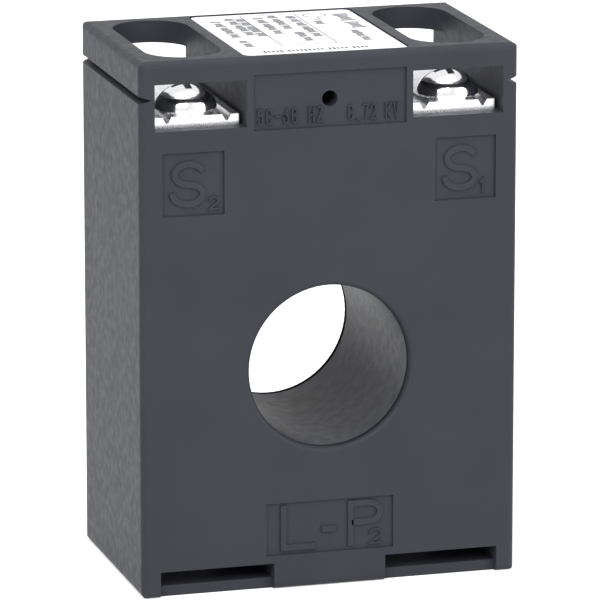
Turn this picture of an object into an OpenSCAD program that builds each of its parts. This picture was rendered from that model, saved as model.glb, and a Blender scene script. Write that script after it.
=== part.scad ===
// Through-hole current transformer for one round cable, with two screw terminals.
// Origin: middle of the base. +X right, +Y back, +Z up. The front face looks along -Y.

/* [Case] */
// Width of the case
case_w = 50; // [48:0.5:60]
// Depth of the case along the cable
case_d = 30; // [28:0.5:40]
// Height of the case
case_h = 70; // [69:0.5:80]
// Rounding of the outer edges
edge_r = 0.9; // [0.4:0.1:1.2]
// Thickness of the side walls
side_wall = 2; // [1.8:0.1:2.4]
// Thickness of the front wall and of the rear cover
face_wall = 2.4; // [2.2:0.1:3]
// Thickness of the top wall between the terminals
top_wall = 2.2; // [1.8:0.1:2.6]
// Thickness of the floor over the foot channels
floor_wall = 1.5; // [1.2:0.1:1.8]
// Play between the rear cover and the case
cover_fit = 0.08; // [0.05:0.01:0.15]

/* [Cable bore] */
// Diameter of the cable bore
bore_d = 21.3; // [19:0.1:22]
// Height of the bore axis over the base
bore_z = 29.1; // [28.9:0.1:30]
// Rounding of the bore mouth, front and back
lip_r = 0.65; // [0.4:0.05:0.9]
// Wall of the tube that lines the bore
tube_wall = 1.2; // [0.8:0.1:1.4]
// Gap between the bore mouth and the end of the tube
tube_gap = 0.8; // [0.4:0.1:1]
// Play between the tube and its seats
tube_fit = 0.1; // [0.05:0.01:0.15]

/* [Wound core] */
// Play between the tube and the wound core
core_fit = 0.2; // [0.1:0.05:0.3]
// Play between the taped winding and the nearest wall of its room
winding_play = 0.5; // [0.3:0.1:1.5]
// Thickness of the outer tape
tape_t = 0.35; // [0.2:0.05:0.5]
// Thickness of the copper winding
copper_t = 1.4; // [1:0.1:1.8]
// Wall of the insulating core cups
cup_t = 0.9; // [0.6:0.1:1.2]
// Play between the layers of the wound core
layer_fit = 0.05; // [0.03:0.01:0.08]
// Thickness of each end pad
pad_t = 1.5; // [1:0.1:2]
// Corner rounding of the taped winding
winding_r = 1.6; // [1:0.1:2.2]
// Height of the step where the two cups lap
lap_l = 3; // [2:0.5:5]

/* [Terminals] */
// Width of each terminal tunnel, inward from the side wall
tunnel_w = 12.05; // [11.8:0.05:12.2]
// Height of each terminal tunnel
tunnel_h = 6.05; // [5.6:0.05:6.4]
// Thickness of the roof over each tunnel
roof_t = 2.9; // [2.4:0.1:3.2]
// Thickness of the deck under each tunnel
deck_t = 2; // [1.6:0.1:2.4]
// Wall between each tunnel and the middle of the case
web_t = 1.5; // [1.2:0.1:1.8]
// Width of the round-ended opening in each roof
opening_w = 10; // [9:0.5:10]
// Offset of that opening from the tunnel's middle line, outward
opening_offset = 0.525; // [0:0.025:0.6]
// Distance of that opening from the front and back faces
opening_inset = 2.35; // [2:0.05:4]
// Offset of each screw axis from the tunnel's middle line, outward
screw_offset = 0.425; // [0:0.025:0.6]
// Distance from the front face to each screw axis
screw_inset = 6.1; // [6:0.1:8]
// Width of each terminal plate
plate_w = 11; // [10.4:0.1:11.2]
// Thickness of each terminal plate
plate_t = 1.4; // [1:0.1:1.6]
// Distance of the plate ends from the front and back faces
plate_inset = 2.1; // [1.6:0.1:3]
// Depth of the two grooves along each plate
plate_groove = 0.8; // [0.5:0.1:0.9]
// Width of those grooves
plate_groove_w = 1.2; // [1:0.1:1.4]
// Distance from the plate's middle line to each groove
plate_groove_x = 3.9; // [3.7:0.1:4]
// Thickness of the solder tail
tail_t = 0.8; // [0.6:0.1:1]
// Width of the solder tail
tail_w = 4; // [3:0.1:5]
// Distance from the back face to the solder tail
tail_inset = 5.4; // [5:0.1:8]

/* [Screws] */
// Diameter of the screw shank
screw_d = 4; // [3.6:0.1:4]
// Length of the screw under its head
screw_l = 8; // [7.4:0.1:8]
// Diameter of the screw head
head_d = 8; // [7:0.1:8.2]
// Height of the domed head
head_h = 3.05; // [2.6:0.05:3.1]
// Diameter of the flat washer
washer_d = 7.2; // [6.8:0.1:7.6]
// Thickness of the flat washer
washer_t = 0.4; // [0.3:0.1:0.5]
// Length of one side of the square nut
nut_w = 7; // [6.6:0.1:7.2]
// Thickness of the square nut
nut_t = 3.2; // [2.4:0.1:3.2]
// Play of the shank in the nut, on the radius
thread_fit = 0.05; // [0.03:0.01:0.08]

/* [Leads] */
// Diameter of each insulated lead
lead_d = 1.6; // [1.2:0.1:1.8]
// Distance from the lead's upper corner to the plate's middle line
lead_run = 4; // [3:0.5:6]

/* [Label] */
// Distance from the label to each roof opening
label_side = 1.75; // [1.5:0.05:3]
// Distance from the label to the front and back faces
label_inset = 1.2; // [1.1:0.1:3]
// Thickness of the label
label_t = 0.14; // [0.1:0.01:0.2]
// Depth of the label's pocket
pocket_t = 0.3; // [0.2:0.05:0.4]
// Gap between the label and its pocket
label_gap = 0.2; // [0.1:0.05:0.3]

/* [Face details] */
// Depth of the recessed panels
panel_t = 0.35; // [0.2:0.05:0.6]
// Diameter of the seal hole
seal_d = 2.06; // [1.6:0.02:2.4]
// Depth of the seal hole
seal_l = 8; // [6:0.5:12]
// Height of the groove along each side at its mouth
groove_h = 1; // [0.6:0.1:1.2]
// Depth of the groove along each side
groove_t = 1.6; // [1:0.1:1.7]
// Width of each foot channel
foot_w = 15.1; // [12:0.1:15.5]
// Height of each foot channel
foot_h = 2.1; // [1.6:0.1:2.4]
// Thickness of the bar under each foot channel
foot_bar = 1.4; // [1:0.1:1.8]
// Setback of that bar from the front and back faces
foot_inset = 1.15; // [0.8:0.05:2]
// Distance from each foot channel to the side of the case
foot_side = 2.45; // [2:0.05:4]

/* [Hidden] */
$fn = 96;
cut = 1; // overrun of every cutting tool

front_y = -case_d / 2;
back_y = case_d / 2;
bore_r = bore_d / 2;
tube_r = bore_r + tube_wall;
tube_seat_r = tube_r + tube_fit;
tube_l = case_d - 2 * (lip_r + tube_gap);

// Terminal places, from the side wall inward
tunnel_x = case_w / 2 - side_wall - tunnel_w;
plate_x = tunnel_x + tunnel_w / 2;
screw_x = plate_x + screw_offset;
opening_x = plate_x + opening_offset;

// Terminal levels, from the roof down
roof_z = case_h - roof_t;
tunnel_z = roof_z - tunnel_h;
deck_z = tunnel_z - deck_t;
plate_z = tunnel_z + plate_t;
head_z = plate_z + washer_t;

// Room for the wound core
chamber_w = case_w - 2 * side_wall;
chamber_d = case_d - 2 * face_wall;
chamber_z = foot_bar + foot_h + floor_wall;
neck_w = 2 * (tunnel_x - web_t);
neck_z = case_h - top_wall;
chamber_r = 1.5;
cover_w = chamber_w - 2 * cover_fit;
stop_w = 1.8; // thickness of the corner rails that the rear cover rests on
stop_h = 6; // height of those rails

// Layers of the wound core, from the tape in
tape_in = tube_r + core_fit;
tape_out = min(chamber_w / 2, bore_z - chamber_z) - winding_play;
pad_play = 0.05;
tape_l = chamber_d - 2 * (pad_t + 2 * pad_play);
copper_gap = tape_t + layer_fit;
cup_gap = copper_gap + copper_t + layer_fit;
core_gap = cup_gap + cup_t + layer_fit;
pad_edge = 1; // setback of the pads from the winding's outer edge

// Screw, washer and nut
screw_y = front_y + screw_inset;
shank_r = screw_d / 2 - thread_fit;
thread_r = screw_d / 2;
plate_hole_r = screw_d / 2 + 0.2;
deck_hole_r = screw_d / 2 + 0.3;
washer_hole_r = screw_d / 2 + 0.1;
nut_play = 0.1;
shelf_t = 1.2;
cage_wall = 1.2;
cage_w = nut_w + 2 * nut_play;
cage_h = nut_t + nut_play;
recess_l = 3.6;
recess_w = 0.9;
recess_t = 1.5;
rim_h = 0.1;

// Terminal plate and its tail
plate_l = case_d - 2 * plate_inset;
tail_y = back_y - tail_inset;
tail_h = 5.6;
tail_play = 0.15;
lead_r = lead_d / 2;
lead_play = 0.06;
lead_hole_r = lead_r + lead_play;
lead_z = deck_z - 2.1;
lead_angle = atan((plate_x - lead_run) / (lead_z - bore_z)); // off the vertical

// Leads
lead_y = 2;
lead_start_r = tape_out - copper_gap + 0.15;
lead_bend_r = 1.5;
sleeve_r = lead_r + 0.15; // sleeve over the start of the lead
sleeve_lap = 0.3; // reach of the sleeve over the first bend
lead_tip = 1.2;

// Panels on the front face: [middle x, middle z, width, height]
panel_edge = 0.875; // ridge between the middle panel and each tunnel
side_panel_x = case_w / 2 - 7;
panels = [
    [0, tunnel_z + tunnel_h / 2, 2 * (tunnel_x - panel_edge), 7.2],
    [-side_panel_x, deck_z - 4.95, 8.1, 8.2],
    [side_panel_x, deck_z - 4.95, 8.1, 8.2],
    [0, 8, 17, 6.95]
];
seal_z = tunnel_z + tunnel_h / 2;
seal_boss_r = seal_d / 2 + 1.4;
groove_z = roof_z - 1.95;

// Label and foot channels
label_w = 2 * (opening_x - opening_w / 2 - label_side);
label_l = case_d - 2 * label_inset;
foot_x = case_w / 2 - foot_side - foot_w;

// Rectangle of w by h about the origin, with round corners of radius r
module round_rect(w, h, r) {
    square([w - 2 * r, h], center = true);
    square([w, h - 2 * r], center = true);
    for (x = [-1, 1], y = [-1, 1])
        translate([x * (w / 2 - r), y * (h / 2 - r)]) circle(r);
}

// Extrudes a drawing in X and Z along Y, from y0 to y1
module along_y(y0, y1) {
    translate([0, y1, 0]) rotate([90, 0, 0]) linear_extrude(y1 - y0) children();
}

// Block of w by d by h on the base plane with every edge rounded by r
module rounded_block(w, d, h, r) {
    intersection() {
        linear_extrude(h) round_rect(w, d, r);
        along_y(-d / 2, d / 2) translate([0, h / 2]) round_rect(w, h, r);
        translate([-w / 2, 0, h / 2]) rotate([90, 0, 90]) linear_extrude(w) round_rect(d, h, r);
    }
}

// Outline of the chamber: a wide room for the core and a narrow neck between the terminals
module chamber_outline(inset) {
    room_h = deck_z - chamber_z;
    neck_h = neck_z - chamber_z;
    translate([0, chamber_z + room_h / 2])
        round_rect(chamber_w - 2 * inset, room_h - 2 * inset, chamber_r);
    translate([0, chamber_z + neck_h / 2])
        round_rect(neck_w - 2 * inset, neck_h - 2 * inset, chamber_r);
}

// Ring about the bore axis from r0 to r1, l long, centred on the case
module bore_ring(r0, r1, l, r = 0) {
    translate([0, 0, bore_z]) rotate([90, 0, 0]) rotate_extrude()
        translate([(r0 + r1) / 2, 0]) {
            if (r > 0) round_rect(r1 - r0, l, r);
            else square([r1 - r0, l], center = true);
        }
}

// One closed layer of the wound core: its outside lies gap inside the tape's outside, t thick
module wound_layer(gap, t) {
    r = max(winding_r - gap, 0.1);
    difference() {
        bore_ring(tape_in + gap, tape_out - gap, tape_l - 2 * gap, r);
        bore_ring(tape_in + gap + t, tape_out - gap - t, tape_l - 2 * (gap + t), max(r - t, 0.1));
    }
}

// Cuts the rounded mouth and the tube's seat through a wall whose outside is at y = 0
// and whose inside is at y = t
module bore_mouth(t) {
    rotate([-90, 0, 0]) {
        translate([0, 0, -cut]) cylinder(h = t + 2 * cut, r = bore_r);
        translate([0, 0, lip_r]) cylinder(h = t - lip_r + cut, r = tube_seat_r);
        rotate_extrude() difference() {
            translate([0, -cut]) square([bore_r + lip_r, lip_r + cut]);
            translate([bore_r + lip_r, lip_r]) circle(lip_r);
        }
    }
}

// Block that lines up with one terminal: the square pocket, open to the rear, for the nut
module nut_cage() {
    inner_x = screw_x - cage_w / 2 - cage_wall;
    outer_x = case_w / 2 - side_wall / 2;
    inner_y = front_y + face_wall / 2;
    rear_y = screw_y + cage_w / 2;
    bottom_z = deck_z - cage_h - shelf_t;
    translate([inner_x, inner_y, bottom_z])
        cube([outer_x - inner_x, rear_y - inner_y, cage_h + shelf_t + deck_t / 2]);
}

module terminal_cuts() {
    opening_l = case_d - 2 * opening_inset;
    // Tunnel from the front face to the back face
    translate([tunnel_x, front_y - cut, tunnel_z]) cube([tunnel_w, case_d + 2 * cut, tunnel_h]);
    // Round-ended opening in the roof
    translate([opening_x, 0, roof_z - cut]) linear_extrude(roof_t + 2 * cut) {
        square([opening_w, opening_l - opening_w], center = true);
        for (y = [-1, 1]) translate([0, y * (opening_l - opening_w) / 2]) circle(opening_w / 2);
    }
    // Screw hole through the deck and the nut's shelf
    translate([screw_x, screw_y, deck_z - cage_h - shelf_t - cut])
        cylinder(h = cage_h + shelf_t + deck_t + 2 * cut, r = deck_hole_r);
    // Nut pocket
    translate([screw_x - cage_w / 2, screw_y - cage_w / 2, deck_z - cage_h])
        cube([cage_w, cage_w + cut, cage_h]);
    // Slot for the solder tail
    translate([plate_x - tail_w / 2 - tail_play, tail_y - tail_t / 2 - tail_play, deck_z - cut])
        cube([tail_w + 2 * tail_play, tail_t + 2 * tail_play, deck_t + 2 * cut]);
}

module case_shell() {
    difference() {
        rounded_block(case_w, case_d, case_h, edge_r);
        along_y(front_y + face_wall, back_y + cut) chamber_outline(0);
    }
}

// Rails in two corners of the chamber, whose ends stop the rear cover
module cover_rails() {
    rail_w = stop_w + side_wall / 2;
    rail_l = case_d - 1.5 * face_wall;
    translate([chamber_w / 2 - stop_w, front_y + face_wall / 2, chamber_z - floor_wall / 2])
        cube([rail_w, rail_l, stop_h + floor_wall / 2]);
    translate([chamber_w / 2 - stop_w, front_y + face_wall / 2, deck_z - stop_h])
        cube([rail_w, rail_l, stop_h + deck_t / 2]);
}

module foot_cuts() {
    for (x = [-foot_x - foot_w, foot_x]) {
        translate([x, front_y - cut, foot_bar]) cube([foot_w, case_d + 2 * cut, foot_h]);
        for (y = [front_y - cut, back_y - foot_inset])
            translate([x, y, -cut]) cube([foot_w, foot_inset + cut, foot_bar + 2 * cut]);
    }
}

module side_grooves() {
    for (x = [-1, 1])
        along_y(front_y - cut, back_y + cut) polygon([
            [x * (case_w / 2 - groove_t), groove_z],
            [x * (case_w / 2 + cut), groove_z + groove_h / 2 * (1 + cut / groove_t)],
            [x * (case_w / 2 + cut), groove_z - groove_h / 2 * (1 + cut / groove_t)]
        ]);
}

module case() {
    color([0.055, 0.056, 0.064]) difference() {
        union() {
            case_shell();
            for (side = [0, 1]) mirror([side, 0, 0]) {
                cover_rails();
                nut_cage();
            }
            // Boss behind the seal hole
            translate([0, front_y + face_wall / 2, seal_z]) rotate([-90, 0, 0])
                cylinder(h = seal_l, r = seal_boss_r);
        }
        translate([0, front_y, bore_z]) bore_mouth(face_wall);
        for (side = [0, 1]) mirror([side, 0, 0]) terminal_cuts();
        foot_cuts();
        side_grooves();
        for (p = panels)
            translate([p[0] - p[2] / 2, front_y - cut, p[1] - p[3] / 2]) cube([p[2], panel_t + cut, p[3]]);
        translate([0, front_y - cut, seal_z]) rotate([-90, 0, 0]) cylinder(h = seal_l + cut, r = seal_d / 2);
        // Pocket for the label
        translate([0, 0, case_h - pocket_t]) linear_extrude(pocket_t + cut)
            round_rect(label_w + 2 * label_gap, label_l + 2 * label_gap, 1.2);
    }
}

module rear_cover() {
    color([0.055, 0.056, 0.064]) difference() {
        along_y(back_y - face_wall, back_y) chamber_outline(cover_fit);
        translate([0, back_y, bore_z]) mirror([0, 1, 0]) bore_mouth(face_wall);
    }
}

module bore_tube() {
    color([0.04, 0.04, 0.045]) bore_ring(bore_r, tube_r, tube_l);
}

module core() {
    color([0.45, 0.46, 0.48])
        bore_ring(tape_in + core_gap, tape_out - core_gap, tape_l - 2 * core_gap);
}

// Everything behind (or, with before = true, before) the plane y
module beyond(y, before = false) {
    translate([-case_w / 2, before ? y - case_d : y, 0]) cube([case_w, case_d, case_h]);
}

// The front cup's rim goes inside the rear cup's rim
module core_cup_front() {
    step = cup_gap + (cup_t + layer_fit) / 2;
    color([0.75, 0.72, 0.6]) difference() {
        wound_layer(cup_gap, cup_t);
        beyond(lap_l / 2 - layer_fit);
        difference() {
            bore_ring(tape_in, tape_out, lap_l);
            bore_ring(tape_in + step, tape_out - step, lap_l + cut);
        }
    }
}

module core_cup_rear() {
    step = cup_gap + (cup_t - layer_fit) / 2;
    color([0.75, 0.72, 0.6]) difference() {
        wound_layer(cup_gap, cup_t);
        beyond(layer_fit - lap_l / 2, before = true);
        bore_ring(tape_in + step, tape_out - step, lap_l);
    }
}

module secondary_winding() {
    color([0.72, 0.33, 0.16]) wound_layer(copper_gap, copper_t);
}

// Point at radius r from the bore axis, on the right-hand lead's line out of the winding
function exit_point(r) = [r * sin(lead_angle), lead_y, bore_z + r * cos(lead_angle)];

module winding_tape() {
    color([0.85, 0.7, 0.25]) difference() {
        wound_layer(0, tape_t);
        for (side = [0, 1]) mirror([side, 0, 0])
            translate(exit_point(tape_out - 2 * tape_t)) rotate([0, lead_angle, 0])
                cylinder(h = 4 * tape_t, r = sleeve_r + lead_play);
    }
}

module end_pad(y) {
    color([0.3, 0.3, 0.32]) translate([0, y, 0])
        bore_ring(tape_in, tape_out - pad_edge, pad_t);
}

module end_pad_front() {
    end_pad(front_y + face_wall + pad_play + pad_t / 2);
}

module end_pad_rear() {
    end_pad(back_y - face_wall - pad_play - pad_t / 2);
}

// Round rod of length l from the point p, turned by the angles a
module rod(p, a, l, r = lead_r) {
    translate(p) rotate(a) cylinder(h = l, r = r);
}

// Round bend about the point p, in a plane turned by the angles a, swept through the angle t
module bend(p, a, start, t) {
    translate(p) rotate(a) rotate([0, 0, start])
        rotate_extrude(angle = t) translate([lead_bend_r, 0]) circle(lead_r);
}

// Lead out of the winding, across to the terminal and back through the solder tail,
// as on the right-hand side
module lead() {
    turn = 90 - lead_angle;
    tangent = lead_bend_r * tan(turn / 2);
    corner_r = (lead_z - bore_z) / cos(lead_angle);
    across_x = corner_r * sin(lead_angle) + tangent;
    back_x = plate_x - lead_bend_r;
    back_l = tail_y + tail_t / 2 + lead_tip - lead_y - lead_bend_r;
    sleeve_l = corner_r - tangent - lead_start_r + sleeve_lap;
    rod(exit_point(lead_start_r), [0, lead_angle, 0], sleeve_l, sleeve_r);
    bend([across_x, lead_y, lead_z - lead_bend_r], [90, 0, 0], 90, turn);
    rod([across_x, lead_y, lead_z], [0, 90, 0], back_x - across_x);
    bend([back_x, lead_y + lead_bend_r, lead_z], [0, 0, 0], -90, 90);
    rod([plate_x, lead_y + lead_bend_r, lead_z], [-90, 0, 0], back_l);
}

module lead_s1() {
    color([0.75, 0.1, 0.08]) lead();
}

module lead_s2() {
    color([0.08, 0.12, 0.5]) mirror([1, 0, 0]) lead();
}

// Plate on the tunnel floor, with a wire groove along each side and a tail down into the case
module terminal_plate() {
    difference() {
        union() {
            translate([plate_x - plate_w / 2, -plate_l / 2, tunnel_z]) cube([plate_w, plate_l, plate_t]);
            translate([plate_x - tail_w / 2, tail_y - tail_t / 2, tunnel_z - tail_h])
                cube([tail_w, tail_t, tail_h + plate_t / 2]);
        }
        translate([screw_x, screw_y, tunnel_z - cut]) cylinder(h = plate_t + 2 * cut, r = plate_hole_r);
        for (x = [-1, 1])
            along_y(-plate_l / 2 - cut, plate_l / 2 + cut)
                translate([plate_x + x * plate_groove_x, plate_z]) polygon([
                    [-plate_groove_w / 2, cut], [-plate_groove_w / 2, 0],
                    [-plate_groove_w / 8, -plate_groove], [plate_groove_w / 8, -plate_groove],
                    [plate_groove_w / 2, 0], [plate_groove_w / 2, cut]
                ]);
        translate([plate_x, tail_y - tail_t, lead_z]) rotate([-90, 0, 0])
            cylinder(h = 2 * tail_t, r = lead_hole_r);
    }
}

module terminal_plate_s1() {
    color([0.85, 0.85, 0.87]) terminal_plate();
}

module terminal_plate_s2() {
    color([0.85, 0.85, 0.87]) mirror([1, 0, 0]) terminal_plate();
}

module terminal_nut(x) {
    color([0.7, 0.7, 0.72]) translate([x, screw_y, deck_z - nut_t]) difference() {
        translate([-nut_w / 2, -nut_w / 2, 0]) cube([nut_w, nut_w, nut_t]);
        translate([0, 0, -cut]) cylinder(h = nut_t + 2 * cut, r = thread_r);
    }
}

module terminal_nut_s1() {
    terminal_nut(screw_x);
}

module terminal_nut_s2() {
    terminal_nut(-screw_x);
}

module clamp_washer(x) {
    color([0.8, 0.8, 0.82]) translate([x, screw_y, plate_z]) difference() {
        cylinder(h = washer_t, r = washer_d / 2);
        translate([0, 0, -cut]) cylinder(h = washer_t + 2 * cut, r = washer_hole_r);
    }
}

module clamp_washer_s1() {
    clamp_washer(screw_x);
}

module clamp_washer_s2() {
    clamp_washer(-screw_x);
}

// Half outline of the head: a tight arc at the rim runs into a wide arc over the top
module head_outline() {
    dome_h = head_h - rim_h;
    side_r = 0.74 * dome_h;
    side_x = head_d / 2 - side_r;
    drop = (pow(side_x, 2) - pow(dome_h - side_r, 2)) / (2 * (dome_h - side_r));
    top_r = dome_h + drop;
    square([head_d / 2, rim_h]);
    translate([0, rim_h]) intersection() {
        square([head_d / 2, dome_h]);
        union() {
            translate([side_x, 0]) circle(side_r);
            intersection() {
                translate([0, -drop]) circle(top_r);
                polygon([[0, -drop], [2 * side_x, drop], [2 * side_x, head_d], [0, head_d]]);
            }
        }
    }
}

module terminal_screw(x) {
    color([0.86, 0.86, 0.88]) translate([x, screw_y, head_z]) {
        difference() {
            rotate_extrude() head_outline();
            for (a = [0, 90])
                rotate([0, 0, a]) translate([-recess_l / 2, -recess_w / 2, head_h - recess_t])
                    cube([recess_l, recess_w, recess_t + cut]);
        }
        translate([0, 0, -screw_l]) cylinder(h = screw_l + rim_h, r = shank_r);
    }
}

module terminal_screw_s1() {
    terminal_screw(screw_x);
}

module terminal_screw_s2() {
    terminal_screw(-screw_x);
}

module rating_label() {
    color([0.9, 0.91, 0.93]) translate([0, 0, case_h - pocket_t]) linear_extrude(label_t)
        round_rect(label_w, label_l, 1);
}

case();
rear_cover();
bore_tube();
core();
core_cup_front();
core_cup_rear();
secondary_winding();
winding_tape();
end_pad_front();
end_pad_rear();
lead_s1();
lead_s2();
terminal_plate_s1();
terminal_plate_s2();
terminal_nut_s1();
terminal_nut_s2();
clamp_washer_s1();
clamp_washer_s2();
terminal_screw_s1();
terminal_screw_s2();
rating_label();
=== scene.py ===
"""Looks of the current transformer: camera, light, materials, raised marks and label print."""
import math
import bmesh
import bpy
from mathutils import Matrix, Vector


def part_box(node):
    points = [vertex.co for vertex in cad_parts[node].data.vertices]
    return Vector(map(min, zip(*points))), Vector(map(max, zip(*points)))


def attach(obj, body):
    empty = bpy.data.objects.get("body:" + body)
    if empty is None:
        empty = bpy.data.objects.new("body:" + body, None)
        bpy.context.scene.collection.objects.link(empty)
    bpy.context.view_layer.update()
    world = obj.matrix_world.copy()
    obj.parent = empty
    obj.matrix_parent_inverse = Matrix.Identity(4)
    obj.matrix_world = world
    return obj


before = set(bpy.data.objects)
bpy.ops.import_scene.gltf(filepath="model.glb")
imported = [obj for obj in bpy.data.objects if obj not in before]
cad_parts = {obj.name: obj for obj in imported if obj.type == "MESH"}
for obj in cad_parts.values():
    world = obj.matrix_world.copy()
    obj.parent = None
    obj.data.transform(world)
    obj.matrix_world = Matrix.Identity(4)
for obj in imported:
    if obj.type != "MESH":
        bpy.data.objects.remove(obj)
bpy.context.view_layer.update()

MM = 0.001
case_low, case_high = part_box("case")
label_low, label_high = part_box("rating_label")
tube_low, tube_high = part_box("bore_tube")
BORE_Z = (tube_low.z + tube_high.z) / 2
SIDES = ("s1", "s2")


# Camera and studio

def make_camera():
    """Puts the camera at the photograph's angle, where azimuth 0 looks along +Y."""
    azimuth, elevation = math.radians(-16.112), math.radians(13.558)
    target, distance = Vector((0.0003, 0, 0.0344)), 0.7514
    back = Vector((
        math.sin(azimuth) * math.cos(elevation),
        -math.cos(azimuth) * math.cos(elevation),
        math.sin(elevation),
    ))
    data = bpy.data.cameras.new("camera")
    data.sensor_width = 36
    data.lens = 346.28
    data.clip_start, data.clip_end = 0.01, 20
    camera = bpy.data.objects.new("camera", data)
    camera.location = target + back * distance
    camera.rotation_euler = (-back).to_track_quat("-Z", "Y").to_euler()
    bpy.context.scene.collection.objects.link(camera)
    bpy.context.scene.camera = camera


def add_lamp(name, azimuth, elevation, distance, size, power):
    """Adds a soft square lamp that looks at the middle of the object."""
    data = bpy.data.lights.new(name, "AREA")
    data.size = size
    data.energy = power
    lamp = bpy.data.objects.new(name, data)
    a, e = math.radians(azimuth), math.radians(elevation)
    back = Vector((math.sin(a) * math.cos(e), -math.cos(a) * math.cos(e), math.sin(e)))
    lamp.location = Vector((0, 0, 0.035)) + back * distance
    lamp.rotation_euler = (-back).to_track_quat("-Z", "Y").to_euler()
    bpy.context.scene.collection.objects.link(lamp)


def seen_directly(tree):
    """1 for rays that show the background: from the camera, a mirror or glass."""
    path = tree.nodes.new("ShaderNodeLightPath")
    total = path.outputs["Is Camera Ray"]
    for name in ("Is Glossy Ray", "Is Transmission Ray"):
        add = tree.nodes.new("ShaderNodeMath")
        add.operation = "ADD"
        add.use_clamp = True
        tree.links.new(total, add.inputs[0])
        tree.links.new(path.outputs[name], add.inputs[1])
        total = add.outputs[0]
    return total


def make_world():
    """White where it is seen, and a soft grey fill where it only lights."""
    world = bpy.data.worlds.new("studio")
    bpy.context.scene.world = world
    world.use_nodes = True
    tree = world.node_tree
    tree.nodes.clear()
    shown, fill = (tree.nodes.new("ShaderNodeBackground") for _ in range(2))
    shown.inputs["Color"].default_value = (1, 1, 1, 1)
    fill.inputs["Color"].default_value = (0.95, 0.97, 1, 1)
    fill.inputs["Strength"].default_value = 0.55
    mix = tree.nodes.new("ShaderNodeMixShader")
    output = tree.nodes.new("ShaderNodeOutputWorld")
    tree.links.new(seen_directly(tree), mix.inputs[0])
    tree.links.new(fill.outputs[0], mix.inputs[1])
    tree.links.new(shown.outputs[0], mix.inputs[2])
    tree.links.new(mix.outputs[0], output.inputs["Surface"])


def make_floor():
    """Pale floor: its own light makes it white where it is seen, and it still takes a shadow."""
    bpy.ops.mesh.primitive_grid_add(size=6, x_subdivisions=4, y_subdivisions=4, location=(0, 0, -0.02 * MM))
    floor = bpy.context.object
    floor.name = "floor"
    material = bpy.data.materials.new("floor")
    material.use_nodes = True
    tree = material.node_tree
    tree.nodes.clear()
    paint = tree.nodes.new("ShaderNodeBsdfDiffuse")
    paint.inputs["Color"].default_value = (0.8, 0.8, 0.8, 1)
    glow = tree.nodes.new("ShaderNodeEmission")
    lift = tree.nodes.new("ShaderNodeMath")
    lift.operation = "MULTIPLY"
    lift.inputs[1].default_value = 0.45
    add = tree.nodes.new("ShaderNodeAddShader")
    output = tree.nodes.new("ShaderNodeOutputMaterial")
    tree.links.new(seen_directly(tree), lift.inputs[0])
    tree.links.new(lift.outputs[0], glow.inputs["Strength"])
    tree.links.new(paint.outputs[0], add.inputs[0])
    tree.links.new(glow.outputs[0], add.inputs[1])
    tree.links.new(add.outputs[0], output.inputs["Surface"])
    floor.data.materials.append(material)


# Materials

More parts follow.
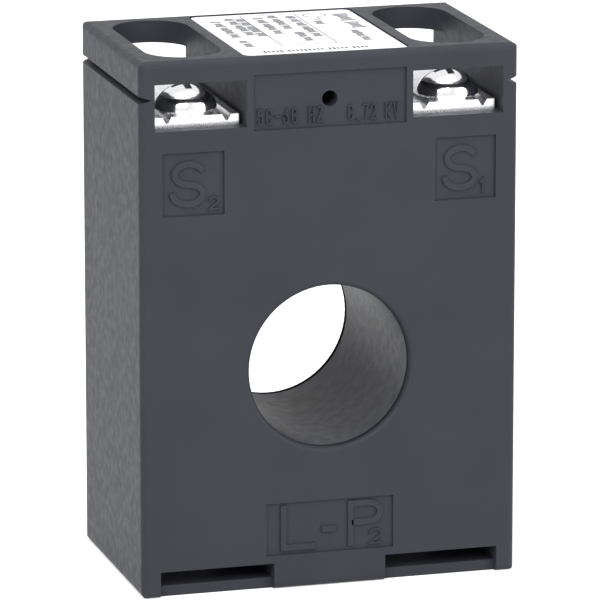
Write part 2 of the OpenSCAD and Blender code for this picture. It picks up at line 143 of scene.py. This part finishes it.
class Paint:
    """A node material with one Principled shader, and helpers for its texture."""

    def __init__(self, name, metallic=0.0, specular=0.5):
        self.material = bpy.data.materials.new(name)
        self.material.use_nodes = True
        self.tree = self.material.node_tree
        self.shader = self.tree.nodes["Principled BSDF"]
        self.shader.inputs["Metallic"].default_value = metallic
        self.shader.inputs["Specular IOR Level"].default_value = specular
        self.place = self.tree.nodes.new("ShaderNodeTexCoord").outputs["Object"]
        self.height = None

    def link(self, output, socket):
        self.tree.links.new(output, socket)

    def math(self, operation, a, b=0.0):
        """A Math node on sockets or numbers."""
        node = self.tree.nodes.new("ShaderNodeMath")
        node.operation = operation
        for socket, value in zip(node.inputs, (a, b)):
            if isinstance(value, (int, float)):
                socket.default_value = value
            else:
                self.link(value, socket)
        return node.outputs[0]

    def noise(self, size, detail=2.0, stretch=(1, 1, 1)):
        """Noise whose features are about size metres across, stretched along each axis."""
        scale = self.tree.nodes.new("ShaderNodeVectorMath")
        scale.operation = "MULTIPLY"
        scale.inputs[1].default_value = [1 / (size * s) for s in stretch]
        self.link(self.place, scale.inputs[0])
        node = self.tree.nodes.new("ShaderNodeTexNoise")
        node.inputs["Scale"].default_value = 1
        node.inputs["Detail"].default_value = detail
        self.link(scale.outputs[0], node.inputs["Vector"])
        return node.outputs["Fac"]

    def polar(self, centre, axis):
        """(radius, angle) sockets about a line through centre along the axis Y or Z."""
        shift = self.tree.nodes.new("ShaderNodeVectorMath")
        shift.operation = "SUBTRACT"
        shift.inputs[1].default_value = centre
        self.link(self.place, shift.inputs[0])
        split = self.tree.nodes.new("ShaderNodeSeparateXYZ")
        self.link(shift.outputs[0], split.inputs[0])
        u, v = split.outputs["X"], split.outputs["Z" if axis == "Y" else "Y"]
        radius = self.math("SQRT", self.math("ADD", self.math("MULTIPLY", u, u), self.math("MULTIPLY", v, v)))
        return radius, self.math("ARCTAN2", v, u)

    def span(self, value, low, high, start=0.35, end=0.65):
        """Maps value from start..end to low..high."""
        node = self.tree.nodes.new("ShaderNodeMapRange")
        for name, number in (("From Min", start), ("From Max", end), ("To Min", low), ("To Max", high)):
            node.inputs[name].default_value = number
        self.link(value, node.inputs["Value"])
        return node.outputs[0]

    def colour(self, value, dark, light, start=0.35, end=0.65):
        """Colours the surface from dark to light by value."""
        node = self.tree.nodes.new("ShaderNodeMix")
        node.data_type = "RGBA"
        node.inputs["A"].default_value = (*dark, 1)
        node.inputs["B"].default_value = (*light, 1)
        self.link(self.span(value, 0, 1, start, end), node.inputs["Factor"])
        self.link(node.outputs["Result"], self.shader.inputs["Base Color"])

    def roughness(self, value, low, high):
        self.link(self.span(value, low, high), self.shader.inputs["Roughness"])

    def bump(self, value, depth):
        """Adds a relief of that depth in metres."""
        node = self.tree.nodes.new("ShaderNodeBump")
        node.inputs["Strength"].default_value = 1
        node.inputs["Distance"].default_value = depth
        self.link(value, node.inputs["Height"])
        if self.height:
            self.link(self.height, node.inputs["Normal"])
        self.height = node.outputs["Normal"]
        self.link(self.height, self.shader.inputs["Normal"])


def shades(colour, spread):
    """A darker and a lighter shade of one colour."""
    return [c * (1 - spread) for c in colour], [c * (1 + spread) for c in colour]


def moulded_plastic(name, colour, grain=0.18 * MM, depth=0.004 * MM, rough=(0.42, 0.52), specular=0.12):
    """Spark-eroded moulded plastic: fine grain, faint flow marks and uneven gloss."""
    paint = Paint(name, specular=specular)
    paint.colour(paint.noise(9 * MM, 3), *shades(colour, 0.05))
    paint.roughness(paint.noise(1.2 * MM, 3), *rough)
    paint.bump(paint.noise(grain, 2), depth)
    paint.bump(paint.noise(6 * MM, 1), 0.01 * MM)
    return paint.material


def plated_metal(name, colour, rough, grain_along="Y", depth=0.002 * MM):
    """Plated sheet: rolling lines along one axis, under a bright plating."""
    stretch = {"X": (30, 1, 1), "Y": (1, 30, 1), "Z": (1, 1, 30), "": (1, 1, 1)}[grain_along]
    paint = Paint(name, metallic=1.0)
    lines = paint.noise(0.12 * MM, 3, stretch)
    paint.colour(paint.noise(1.5 * MM, 3), *shades(colour, 0.04))
    paint.roughness(lines, *rough)
    paint.bump(lines, depth)
    return paint.material


def turned_metal(name, colour, rough, centre, pitch, depth):
    """Plated turned metal: faint rings about a line along Z through centre."""
    paint = Paint(name, metallic=1.0)
    radius, _ = paint.polar(centre, "Z")
    rings = paint.math("SINE", paint.math("MULTIPLY", radius, 2 * math.pi / pitch))
    paint.colour(paint.noise(1.2 * MM, 3), *shades(colour, 0.03))
    paint.roughness(paint.noise(0.4 * MM, 3), *rough)
    paint.bump(rings, depth)
    paint.bump(paint.noise(0.25 * MM, 2), depth)
    return paint.material


def wound_steel(name, colour):
    """Edge of a wound steel strip: one line for each turn."""
    paint = Paint(name, metallic=1.0)
    radius, _ = paint.polar((0, 0, BORE_Z), "Y")
    turns = paint.math("SINE", paint.math("MULTIPLY", radius, 2 * math.pi / (0.3 * MM)))
    paint.colour(turns, *shades(colour, 0.15), start=-1, end=1)
    paint.roughness(paint.noise(0.8 * MM, 3), 0.35, 0.5)
    paint.bump(turns, 0.02 * MM)
    return paint.material


def wound_wire(name, colour, turns, gloss):
    """Turns of wire or tape across the ring, side by side round the bore, with painted shade darkening the grooves
    between turns.
    """
    paint = Paint(name)
    _, angle = paint.polar((0, 0, BORE_Z), "Y")
    ridges = paint.math("ABSOLUTE", paint.math("SINE", paint.math("MULTIPLY", angle, turns / 2)))
    # painted shade: the colour falls to 55 % in the grooves between turns, where the ridges are low
    paint.colour(ridges, [c * 0.55 for c in colour], colour, start=0, end=0.5)
    paint.roughness(paint.noise(0.6 * MM, 3), *gloss)
    paint.bump(ridges, 0.15 * MM)
    return paint.material


def soft_foam(name, colour):
    paint = Paint(name, specular=0.2)
    cells = paint.noise(0.4 * MM, 4)
    paint.colour(cells, *shades(colour, 0.25))
    paint.roughness(cells, 0.8, 0.95)
    paint.bump(cells, 0.1 * MM)
    return paint.material


def label_film(name, colour):
    """Satin film: a faint weave of its coating and a slight wave from the glue under it."""
    paint = Paint(name, specular=0.3)
    paint.colour(paint.noise(5 * MM, 2), *shades(colour, 0.02))
    paint.roughness(paint.noise(0.7 * MM, 3), 0.35, 0.48)
    paint.bump(paint.noise(0.15 * MM, 2), 0.0015 * MM)
    paint.bump(paint.noise(4 * MM, 1), 0.01 * MM)
    return paint.material


def print_ink(name, colour):
    paint = Paint(name, specular=0.3)
    coverage = paint.noise(0.12 * MM, 3)
    paint.colour(coverage, *shades(colour, 0.3))
    paint.roughness(coverage, 0.4, 0.6)
    paint.bump(coverage, 0.002 * MM)
    return paint.material


CASE_COLOUR = (0.030, 0.031, 0.038)
case_plastic = moulded_plastic("case_plastic", CASE_COLOUR)
ink = print_ink("print_ink", (0.06, 0.06, 0.065))

finishes = {
    "case": case_plastic,
    "rear_cover": case_plastic,
    "bore_tube": moulded_plastic("tube_plastic", (0.026, 0.027, 0.034), 0.3 * MM, 0.002 * MM, (0.38, 0.46)),
    "core": wound_steel("core_steel", (0.45, 0.46, 0.48)),
    "secondary_winding": wound_wire("copper_wire", (0.72, 0.33, 0.16), 180, (0.2, 0.3)),
    "winding_tape": wound_wire("tape", (0.85, 0.7, 0.25), 36, (0.25, 0.4)),
    "lead_s1": moulded_plastic("lead_red", (0.75, 0.1, 0.08), 0.5 * MM, 0.004 * MM, (0.3, 0.4), 0.5),
    "lead_s2": moulded_plastic("lead_blue", (0.08, 0.12, 0.5), 0.5 * MM, 0.004 * MM, (0.3, 0.4), 0.5),
    "rating_label": label_film("label_film", (0.80, 0.80, 0.83)),
}
insulation = moulded_plastic("insulation", (0.75, 0.72, 0.6), 0.3 * MM, 0.004 * MM, (0.45, 0.6), 0.4)
foam = soft_foam("foam", (0.3, 0.3, 0.32))
plate_metal = plated_metal("plated_plate", (0.85, 0.85, 0.87), (0.2, 0.32))
nut_metal = plated_metal("plated_nut", (0.7, 0.7, 0.72), (0.3, 0.45), "")
for end in ("front", "rear"):
    finishes[f"core_cup_{end}"] = insulation
    finishes[f"end_pad_{end}"] = foam
for side in SIDES:
    low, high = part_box(f"terminal_screw_{side}")
    axis = (low + high) / 2
    finishes[f"terminal_plate_{side}"] = plate_metal
    finishes[f"terminal_nut_{side}"] = nut_metal
    finishes[f"clamp_washer_{side}"] = turned_metal(
        f"plated_washer_{side}", (0.8, 0.8, 0.82), (0.2, 0.3), axis, 0.15 * MM, 0.002 * MM)
    finishes[f"terminal_screw_{side}"] = turned_metal(
        f"polished_screw_{side}", (0.86, 0.86, 0.88), (0.10, 0.16), axis, 0.3 * MM, 0.0006 * MM)


# Raised marks on the front face

def arc(cx, cy, rx, ry, start, end, steps=14):
    """Points on an elliptical arc, angles in degrees."""
    angles = [math.radians(start + (end - start) * i / steps) for i in range(steps + 1)]
    return [(cx + rx * math.cos(a), cy + ry * math.sin(a)) for a in angles]


# Middle lines of each character in a box 1 wide and 1 high
GLYPHS = {
    "S": [arc(0.53, 0.745, 0.47, 0.255, 32, 270, 24) + arc(0.5, 0.245, 0.5, 0.245, 90, -172, 26)[1:]],
    "1": [[(0, 0.78), (1, 1), (1, 0)]],
    "2": [arc(0.5, 0.70, 0.5, 0.30, 170, -30, 16) + [(0, 0), (1, 0)]],
    "L": [[(0, 1), (0, 0), (1, 0)]],
    "P": [[(0, 0), (0, 1)] + arc(0.6, 0.76, 0.4, 0.24, 90, -90, 16) + [(0.12, 0.52)]],
    "-": [[(0, 0.5), (1, 0.5)]],
    ".": [[(0.3, 0), (0.7, 0)]],
    "0": [arc(0.5, 0.7, 0.5, 0.3, 0, 180, 12) + arc(0.5, 0.3, 0.5, 0.3, 180, 360, 12)],
    "5": [[(0.95, 1), (0.1, 1), (0.03, 0.6)] + arc(0.5, 0.32, 0.5, 0.32, 105, -160, 18)],
    "6": [[(0.8, 1), (0.1, 0.5)] + arc(0.5, 0.3, 0.5, 0.3, 160, 500, 24)],
    "7": [[(0, 1), (1, 1), (0.35, 0)]],
    "H": [[(0, 0), (0, 1)], [(1, 0), (1, 1)], [(0.14, 0.5), (0.86, 0.5)]],
    "Z": [[(0, 1), (1, 1), (0, 0), (1, 0)]],
    "K": [[(0, 0), (0, 1)], [(1, 1), (0.16, 0.5), (1, 0)]],
    "V": [[(0, 1), (0.5, 0), (1, 1)]],
}


def offset_line(points, distance):
    """The points moved sideways by distance, with mitred corners."""
    moved = []
    for i, point in enumerate(points):
        before = (Vector(point) - Vector(points[i - 1])).normalized() if i else None
        after = (Vector(points[i + 1]) - Vector(point)).normalized() if i + 1 < len(points) else None
        before, after = before or after, after or before
        normal = Vector((-before.y - after.y, before.x + after.x)).normalized()
        reach = distance / max(0.35, normal.dot(Vector((-after.y, after.x))))
        moved.append(Vector(point) + normal * reach)
    return moved


def add_stroke(mesh, points, width, place, draft):
    """Adds a raised bar along the points: place(u, v, level) puts a point at the foot (0) or the top (1)."""
    rows = []
    for level, half in ((0, width / 2 + draft), (1, width / 2 - draft)):
        first, last = (Vector(a) for a in (points[0], points[-1]))
        line = [first + (first - Vector(points[1])).normalized() * (half - width / 2)]
        line += [Vector(p) for p in points[1:-1]]
        line += [last + (last - Vector(points[-2])).normalized() * (half - width / 2)]
        for distance in (half, -half):
            rows.append([mesh.verts.new(place(p.x, p.y, level)) for p in offset_line(line, distance)])
    foot_left, foot_right, top_left, top_right = rows
    for a, b in ((foot_right, foot_left), (top_left, top_right), (foot_left, top_left), (top_right, foot_right)):
        for i in range(len(a) - 1):
            mesh.faces.new((a[i], a[i + 1], b[i + 1], b[i]))
    mesh.faces.new((foot_left[0], top_left[0], top_right[0], foot_right[0]))
    mesh.faces.new((foot_right[-1], top_right[-1], top_left[-1], foot_left[-1]))


def finish_mesh(name, mesh, material, body="housing", bevel=0.0):
    """Makes a piece of the bmesh that rides on a body."""
    bmesh.ops.recalc_face_normals(mesh, faces=mesh.faces)
    data = bpy.data.meshes.new(name)
    mesh.to_mesh(data)
    mesh.free()
    data.materials.append(material)
    piece = bpy.data.objects.new(name, data)
    bpy.context.scene.collection.objects.link(piece)
    if bevel:
        rounding = piece.modifiers.new("rounding", "BEVEL")
        rounding.width = bevel
        rounding.segments = 2
        rounding.limit_method = "ANGLE"
        rounding.angle_limit = math.radians(50)
    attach(piece, body)
    return piece


PANEL_DEPTH = 0.35 * MM
MARK_HEIGHT = 0.3 * MM


def raised_mark(name, characters, draft=0.04 * MM):
    """Raised characters in a recessed panel: each is (glyph, left x, bottom z, width, height, stroke) in mm."""
    mesh = bmesh.new()
    foot_y = case_low.y + PANEL_DEPTH + 0.02 * MM
    top_y = case_low.y + PANEL_DEPTH - MARK_HEIGHT
    for glyph, left, bottom, width, height, stroke in characters:
        def place(u, v, level):
            return (u, top_y if level else foot_y, v)
        inner_w, inner_h = (width - stroke) * MM, (height - stroke) * MM
        start_x, start_z = (left + stroke / 2) * MM, (bottom + stroke / 2) * MM
        for line in GLYPHS[glyph]:
            points = [(start_x + u * inner_w, start_z + v * inner_h) for u, v in line]
            ends = points
            if glyph in "LPSHKZVT1257.-60":
                ends = stretched(points, stroke / 2 * MM)
            add_stroke(mesh, ends, stroke * MM, place, min(draft, stroke * MM * 0.15))
    return finish_mesh(name, mesh, case_plastic, bevel=0.03 * MM)


def stretched(points, length):
    """The points with both end points moved outward by length."""
    first = Vector(points[0]) + (Vector(points[0]) - Vector(points[1])).normalized() * length
    last = Vector(points[-1]) + (Vector(points[-1]) - Vector(points[-2])).normalized() * length
    return [first, *points[1:-1], last]


def make_marks():
    big, small, fine = 0.85, 0.28, 0.24
    raised_mark("mark_s2", [("S", -21.1, 51.1, 4.8, 6.0, big), ("2", -16.0, 50.6, 1.4, 1.8, small)])
    raised_mark("mark_s1", [("S", 14.9, 51.1, 4.8, 6.0, big), ("1", 19.9, 50.6, 0.6, 1.9, small)])
    raised_mark("mark_primary", [
        ("L", -6.6, 5.0, 4.7, 6.1, big),
        ("-", -1.07, 7.1, 1.9, 0.9, big),
        ("P", 2.4, 5.0, 4.8, 6.1, big),
        ("2", 5.3, 5.07, 1.8, 2.1, small),
    ])
    for name, word, left, step in (("mark_frequency", "50-60 HZ", -9.6, 1.12), ("mark_voltage", "0.72 KV", 2.3, 1.0)):
        characters = [(c, left + i * step, 61.1, 0.82, 2.1, fine) for i, c in enumerate(word) if c != " "]
        raised_mark(name, characters)


# Print on the label

def make_print():
    """Rows of small grey ticks, a frame and a ring, which stand for print without being any."""
    mesh = bmesh.new()
    base_z, top_z = label_high.z - 0.005 * MM, label_high.z + 0.02 * MM

    def place(u, v, level):
        return (u, v, top_z if level else base_z)

    def line(points, width):
        add_stroke(mesh, [(x * MM, (y - 15) * MM) for x, y in points], width * MM, place, 0.005 * MM)

    def row(x, start, end, height, weight, along_x=False):
        """Ticks in words of 3 to 6 along a line at x, from start to end."""
        position, count = start, 0
        while position < end:
            tall = height * (1.0 if (count * 7) % 5 in (0, 3) else 0.72)
            ends = [(x - tall / 2, position), (x + tall / 2, position)]
            if along_x:
                ends = [(position, x - tall / 2), (position, x + tall / 2)]
            line(ends, weight)
            count += 1
            position += weight * (3.2 if (count * 5) % 23 < 4 else 1.7)

    for x, start, end in ((-8.4, 14, 25), (-8.4, 7.5, 11.5), (-6.2, 15, 26.5), (-4.9, 14, 26.5), (-2.4, 15, 26),
                          (-0.3, 18, 27), (0.1, 9.5, 15.5), (2.0, 12, 26.5), (4.6, 20, 23)):
        row(x, start, end, 1.35, 0.28)
    row(8.7, 16.5, 26.0, 2.0, 0.5)
    row(7.4, 8.0, 15.5, 1.3, 0.28)
    row(3.6, -7.6, 6.4, 1.2, 0.32, along_x=True)
    frame_points = [(-4.3, 27.6), (-4.3, 7.2), (3.0, 7.2), (3.0, 27.6)]
    line(frame_points, 0.14)
    line([(-4.3, 27.6), (3.0, 27.6)], 0.14)
    ring = arc(5.4, 26.0, 1.5, 1.3, 0, 358, 40)
    line(ring, 0.16)
    line([(5.4, 22.9), (5.4, 24.6)], 0.16)
    finish_mesh("label_print", mesh, ink)


def assign_finishes():
    for name, material in finishes.items():
        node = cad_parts[name]
        for index in range(max(1, len(node.material_slots))):
            if node.material_slots:
                node.material_slots[index].material = material
            else:
                node.data.materials.append(material)


make_camera()
make_world()
make_floor()
add_lamp("key", -35, 40, 1.2, 0.8, 12)
add_lamp("fill", 40, 20, 1.4, 1.0, 10)
add_lamp("top", 0, 85, 1.0, 0.8, 6)
assign_finishes()
make_marks()
make_print()

view = bpy.context.scene.view_settings
view.view_transform = "Standard"
